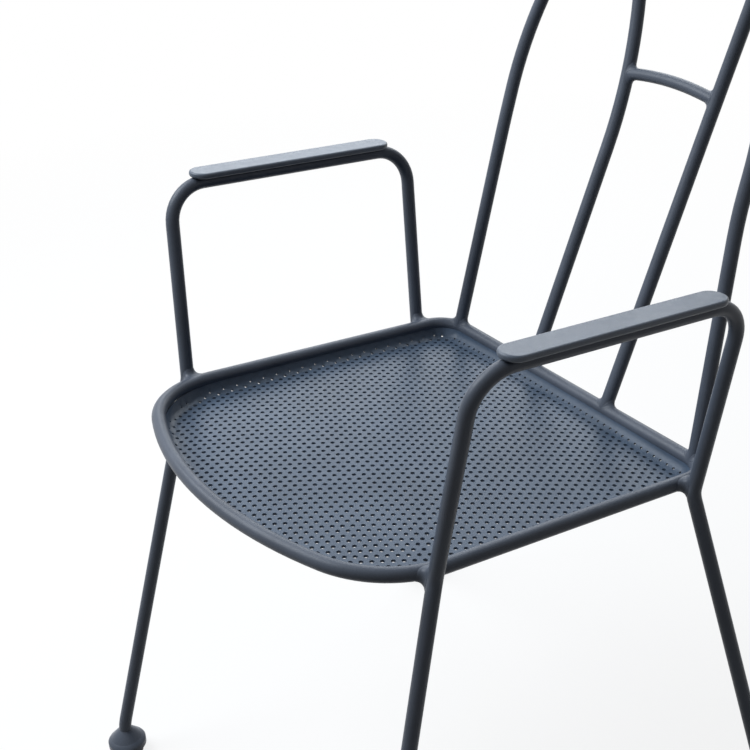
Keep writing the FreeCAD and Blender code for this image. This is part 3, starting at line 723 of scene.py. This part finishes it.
class Shading:
    """The node tree of a material or of the world, emptied, and short ways to add nodes to it."""

    def __init__(self, owner):
        self.owner = owner
        owner.use_nodes = True
        self.tree = owner.node_tree
        self.tree.nodes.clear()

    def node(self, kind, settings=None, inputs=None, output=0):
        """A node of this kind: settings first, then values or links for its sockets."""
        node = self.tree.nodes.new(kind)
        for key, value in (settings or {}).items():
            setattr(node, key, value)
        for key, value in (inputs or {}).items():
            if isinstance(value, Value):
                self.tree.links.new(value.socket, node.inputs[key])
            else:
                node.inputs[key].default_value = value
        return Value(self, node.outputs[output])

    def place(self):
        """The place of the shaded point in the object's own coordinates."""
        return self.node("ShaderNodeTexCoord", output="Object")

    def noise(self, scale, detail):
        """Noise on the object's own coordinates, in features per metre."""
        return self.node("ShaderNodeTexNoise", {"noise_dimensions": "3D"},
                         {"Vector": self.place(), "Scale": scale, "Detail": detail})

    def spread(self, value, low, high):
        """A value mapped from low..high to 0..1, held there."""
        return self.node("ShaderNodeMapRange", {"clamp": True},
                         {"Value": value, "From Min": low, "From Max": high})

    def patches(self, scale, detail, low=0.3, high=0.7):
        """Noise whose middle is stretched to 0..1."""
        return self.spread(self.noise(scale, detail), low, high)

    def blend(self, factor, first, second):
        """One colour mixed into another, by the Mix node's sockets for colours."""
        return self.node("ShaderNodeMix", {"data_type": "RGBA"}, {0: factor, 6: first, 7: second}, output=2)

    def looked_at(self):
        """1 for rays from the camera, and for what these see in metal and through glass."""
        camera, mirror, glass = (self.node("ShaderNodeLightPath", output="Is %s Ray" % kind)
                                 for kind in ("Camera", "Glossy", "Transmission"))
        return camera + mirror + glass

    def close(self, shader, output="ShaderNodeOutputMaterial"):
        """Take this shader as the surface."""
        end = self.tree.nodes.new(output)
        self.tree.links.new(shader.socket, end.inputs["Surface"])
        return self.owner


def tone(rgb, factor=1.0):
    """A colour times a factor, with alpha."""
    return tuple(min(1.0, part * factor) for part in rgb) + (1.0,)


# Features per metre of the noise in the powder coat
CLOUDS = 22.0
PATCHES = 160.0
WAVES = 850.0
SPECKS = 1900.0
FINE_GRAIN = 2600.0
# How far the coat's roughness drifts
GLOSS_DRIFT = 0.07


def powder_coat(name, rgb, gloss, grain=0.5, specular=0.24):
    """Satin powder coat: fine orange peel in the bump, and small drifts in colour and gloss.

    Colour drifts by a few percent over some centimetres and over single grains. Roughness drifts over a
    few millimetres. The bump adds waves of about one millimetre to a grain of a third of that.
    """
    finish = Shading(bpy.data.materials.new(name))
    shade = finish.blend(finish.patches(CLOUDS, 3.0), tone(rgb, 0.88), tone(rgb, 1.12))
    specks = finish.patches(SPECKS, 1.0, 0.35, 0.75) * (0.35 * grain + 0.1)
    shade = finish.blend(specks, shade, tone(rgb, 1.9))
    roughness = finish.patches(PATCHES, 2.0) * GLOSS_DRIFT + (gloss - GLOSS_DRIFT / 2)
    height = finish.noise(WAVES, 1.0) * 0.7 + finish.noise(FINE_GRAIN, 1.0) * (0.3 + 0.6 * grain)
    bump = finish.node("ShaderNodeBump", {}, {"Strength": 0.35, "Distance": 0.12 * MM, "Height": height})
    return finish.close(finish.node("ShaderNodeBsdfPrincipled", {}, {
        "Base Color": shade, "Roughness": roughness, "Normal": bump,
        "Specular IOR Level": specular, "IOR": 1.45}))


def glide_plastic(name, rgb):
    """Matte moulded plastic: soft drifts of gloss and a faint moulded grain."""
    finish = Shading(bpy.data.materials.new(name))
    drift = finish.patches(90.0, 2.0)
    shade = finish.blend(drift, tone(rgb, 0.9), tone(rgb, 1.3))
    bump = finish.node("ShaderNodeBump", {}, {"Strength": 0.3, "Distance": 0.1 * MM,
                                              "Height": finish.noise(1500.0, 2.0)})
    return finish.close(finish.node("ShaderNodeBsdfPrincipled", {}, {
        "Base Color": shade, "Roughness": drift * 0.1 + 0.5, "Normal": bump}))


WHITE = (1.0, 1.0, 1.0, 1.0)
# Where the share of white on the floor begins to grow and is full, and how much it is at least
NEAR_FLOOR, FAR_FLOOR = 0.5, 2.4
LEAST_WHITE = 0.8


def pale_floor(name, rgb, bounce):
    """Pale floor: matt, and nearly white to the camera and in reflections, with the shadow kept on it.

    The share of white grows from the chair outwards, because the lamps reach less far than the floor
    does. To all other rays the floor has the colour of its bounce.
    """
    finish = Shading(bpy.data.materials.new(name))
    shade = finish.blend(finish.patches(3.0, 3.0), tone(rgb, 0.985), tone(rgb, 1.015))
    matt = finish.node("ShaderNodeBsdfDiffuse", {}, {"Color": shade})
    darker = finish.node("ShaderNodeBsdfDiffuse", {}, {"Color": tone(bounce)})
    white = finish.node("ShaderNodeEmission", {}, {"Color": WHITE, "Strength": 1.0})
    away = finish.node("ShaderNodeVectorMath", {"operation": "LENGTH"}, {0: finish.place()}, output="Value")
    share_of_white = finish.spread(away, NEAR_FLOOR, FAR_FLOOR) * (1 - LEAST_WHITE) + LEAST_WHITE
    pale = finish.node("ShaderNodeMixShader", {}, {0: share_of_white, 1: matt, 2: white})
    return finish.close(finish.node("ShaderNodeMixShader", {}, {0: finish.looked_at(), 1: darker, 2: pale}))


def coat(piece, material):
    """Give a piece its material."""
    piece.data.materials.clear()
    piece.data.materials.append(material)


def bar_coat():
    """The bars' powder coat, made once."""
    colours = bpy.context.scene.chair_finish
    found = bpy.data.materials.get("charcoal_bar_coat")
    return found or powder_coat("charcoal_bar_coat", colours.bar, colours.gloss)


# Stage

FLOOR_REACH = 30.0


def lay_floor(scene, stage):
    """A large square floor under the chair."""
    mesh = bpy.data.meshes.new("floor")
    corners = [(-1, -1), (1, -1), (1, 1), (-1, 1)]
    mesh.from_pydata([(x * FLOOR_REACH, y * FLOOR_REACH, 0.0) for x, y in corners], [], [(0, 1, 2, 3)])
    mesh.materials.append(pale_floor("pale_floor", stage.floor, stage.bounce))
    floor = bpy.data.objects.new("floor", mesh)
    scene.collection.objects.link(floor)


def light_world(scene, stage):
    """White behind the chair and in its reflections, and a plain level of light from all round."""
    scene.world = bpy.data.worlds.new("surround")
    surround = Shading(scene.world)
    plain = surround.node("ShaderNodeBackground", {}, {
        "Color": tone(stage.surround_colour), "Strength": stage.surround})
    white = surround.node("ShaderNodeBackground", {}, {"Color": WHITE, "Strength": 1.0})
    seen = surround.node("ShaderNodeMixShader", {}, {0: surround.looked_at(), 1: plain, 2: white})
    surround.close(seen, "ShaderNodeOutputWorld")


def add_lamp(scene, name, place, side, watts):
    """A square soft lamp at a place, turned to the lamps' target."""
    stage = scene.chair_stage
    lamp = bpy.data.lights.new(name, "AREA")
    lamp.shape, lamp.size, lamp.energy, lamp.color = "SQUARE", side, watts, stage.lamp_colour
    holder = bpy.data.objects.new(name, lamp)
    holder.location = place
    holder.rotation_euler = (stage.lamp_target - place).to_track_quat("-Z", "Y").to_euler()
    scene.collection.objects.link(holder)


def add_camera(scene, stage):
    """The camera at the photograph's place, by its azimuth, elevation and roll."""
    azimuth, elevation, roll = stage.azimuth, stage.elevation, stage.roll
    back = Vector((sin(azimuth) * cos(elevation), -cos(azimuth) * cos(elevation), sin(elevation)))
    level = Vector((cos(azimuth), sin(azimuth), 0.0))
    above = back.cross(level)
    right = level * cos(roll) + above * sin(roll)
    up = above * cos(roll) - level * sin(roll)
    lens = bpy.data.cameras.new("camera")
    lens.lens, lens.sensor_width = stage.lens, stage.sensor
    lens.shift_x, lens.shift_y = stage.shift
    camera = bpy.data.objects.new("camera", lens)
    camera.matrix_world = (Matrix.Translation(stage.camera_place)
                           @ Matrix((right, up, back)).transposed().to_4x4())
    scene.collection.objects.link(camera)
    scene.camera = camera


# Operators


class ARMCHAIR_OT_painted_bars(bpy.types.Operator):
    """Give the bars their powder coat"""
    bl_idname = "armchair.painted_bars"
    bl_label = "Painted Bars"

    def execute(self, context):
        for name in BARS:
            coat(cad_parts[name], bar_coat())
        return {"FINISHED"}


class ARMCHAIR_OT_armrest_pads(bpy.types.Operator):
    """Give the armrest pads their powder coat"""
    bl_idname = "armchair.armrest_pads"
    bl_label = "Armrest Pads"

    def execute(self, context):
        colours = context.scene.chair_finish
        pads = powder_coat("charcoal_pad_coat", colours.pad, colours.gloss, grain=1.0, specular=0.45)
        for name in PADS:
            coat(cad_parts[name], pads)
        return {"FINISHED"}


class ARMCHAIR_OT_seat_panel(bpy.types.Operator):
    """Make the pressed sheet of the seat with all its holes"""
    bl_idname = "armchair.seat_panel"
    bl_label = "Perforated Seat Panel"

    def execute(self, context):
        scene, colours = context.scene, context.scene.chair_finish
        points, faces = punched_sheet(scene.chair_ring, scene.chair_panel)
        panel = new_piece("perforated_panel", points, faces, radians(40))
        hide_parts("seat_panel")
        sheet = powder_coat("charcoal_sheet_coat", colours.sheet, colours.gloss, grain=0.8, specular=0.25)
        coat(panel, sheet)
        return {"FINISHED"}


class ARMCHAIR_OT_welds(bpy.types.Operator):
    """Make the weld fillets between the bars"""
    bl_idname = "armchair.welds"
    bl_label = "Weld Fillets"

    def execute(self, context):
        scene = context.scene
        ring, back, welds = scene.chair_ring, scene.chair_back, scene.chair_welds
        posts, bases, ends = [], [], []
        for side in (LEFT, RIGHT):
            posts += post_welds(ring, scene.chair_side_frames, welds, side)
            bases += base_welds(ring, back, welds, side)
            ends.append(crossbar_weld(ring, back, welds, side))
        for name, grids in (("ring_post_welds", posts), ("back_base_welds", bases),
                            ("crossbar_welds", ends)):
            points, faces = joined(grids)
            coat(new_piece(name, points, [faces]), bar_coat())
        return {"FINISHED"}


class ARMCHAIR_OT_bun_feet(bpy.types.Operator):
    """Give the bun feet and glides their finish, and make the necks from the feet to the legs"""
    bl_idname = "armchair.bun_feet"
    bl_label = "Bun Feet"

    def execute(self, context):
        scene, colours = context.scene, context.scene.chair_finish
        feet = powder_coat("charcoal_foot_coat", colours.bar, colours.foot_gloss)
        glides = glide_plastic("black_glide_plastic", colours.glide)
        for name in FEET:
            coat(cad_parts[name + "_foot"], feet)
            coat(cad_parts[name + "_glide"], glides)
        leg_radius = scene.chair_ring.bar_diameter / 2
        points, faces = joined([neck(scene.chair_necks, leg_radius, over_foot(name, 0.0)) for name in FEET])
        coat(new_piece("foot_necks", points, [faces]), feet)
        return {"FINISHED"}


class ARMCHAIR_OT_stage(bpy.types.Operator):
    """Set the floor, the lamps and the camera"""
    bl_idname = "armchair.stage"
    bl_label = "Stage"

    def execute(self, context):
        scene, stage = context.scene, context.scene.chair_stage
        lay_floor(scene, stage)
        light_world(scene, stage)
        add_lamp(scene, "far_lamp", stage.far_place, stage.far_side, stage.far_lamp)
        add_lamp(scene, "key_lamp", stage.key_place, stage.key_side, stage.key_lamp)
        add_camera(scene, stage)
        scene.view_settings.view_transform = "Standard"
        return {"FINISHED"}


class ARMCHAIR_PT_panel(bpy.types.Panel):
    """Sizes, finishes and steps of the armchair's looks"""
    bl_idname = "ARMCHAIR_PT_panel"
    bl_label = "Garden Armchair"
    bl_space_type = "VIEW_3D"
    bl_region_type = "UI"
    bl_category = "Armchair"

    def draw(self, context):
        for operator in OPERATORS:
            self.layout.operator(operator.bl_idname)
        for pointer, group in GROUPS.items():
            box = self.layout.box()
            for key in group.__annotations__:
                box.prop(getattr(context.scene, pointer), key)


GROUPS = {"chair_ring": SeatRingSizes, "chair_panel": SeatPanelSizes,
          "chair_side_frames": SideFrameSizes, "chair_back": BackSizes, "chair_welds": WeldSizes,
          "chair_necks": NeckSizes, "chair_finish": FinishColours, "chair_stage": StageSettings}
OPERATORS = [ARMCHAIR_OT_painted_bars, ARMCHAIR_OT_armrest_pads, ARMCHAIR_OT_seat_panel,
             ARMCHAIR_OT_welds, ARMCHAIR_OT_bun_feet, ARMCHAIR_OT_stage]
CLASSES = list(GROUPS.values()) + OPERATORS + [ARMCHAIR_PT_panel]


def register():
    """Register the classes and the scene's properties."""
    for item in CLASSES:
        bpy.utils.register_class(item)
    for pointer, group in GROUPS.items():
        setattr(bpy.types.Scene, pointer, bpy.props.PointerProperty(type=group))


def unregister():
    """Take the classes and the scene's properties away again."""
    for pointer in GROUPS:
        delattr(bpy.types.Scene, pointer)
    for item in reversed(CLASSES):
        bpy.utils.unregister_class(item)


def main():
    """Build the looks."""
    register()
    bpy.ops.armchair.painted_bars()
    bpy.ops.armchair.armrest_pads()
    bpy.ops.armchair.seat_panel()
    bpy.ops.armchair.welds()
    bpy.ops.armchair.bun_feet()
    bpy.ops.armchair.stage()


if __name__ == "__main__":
    main()
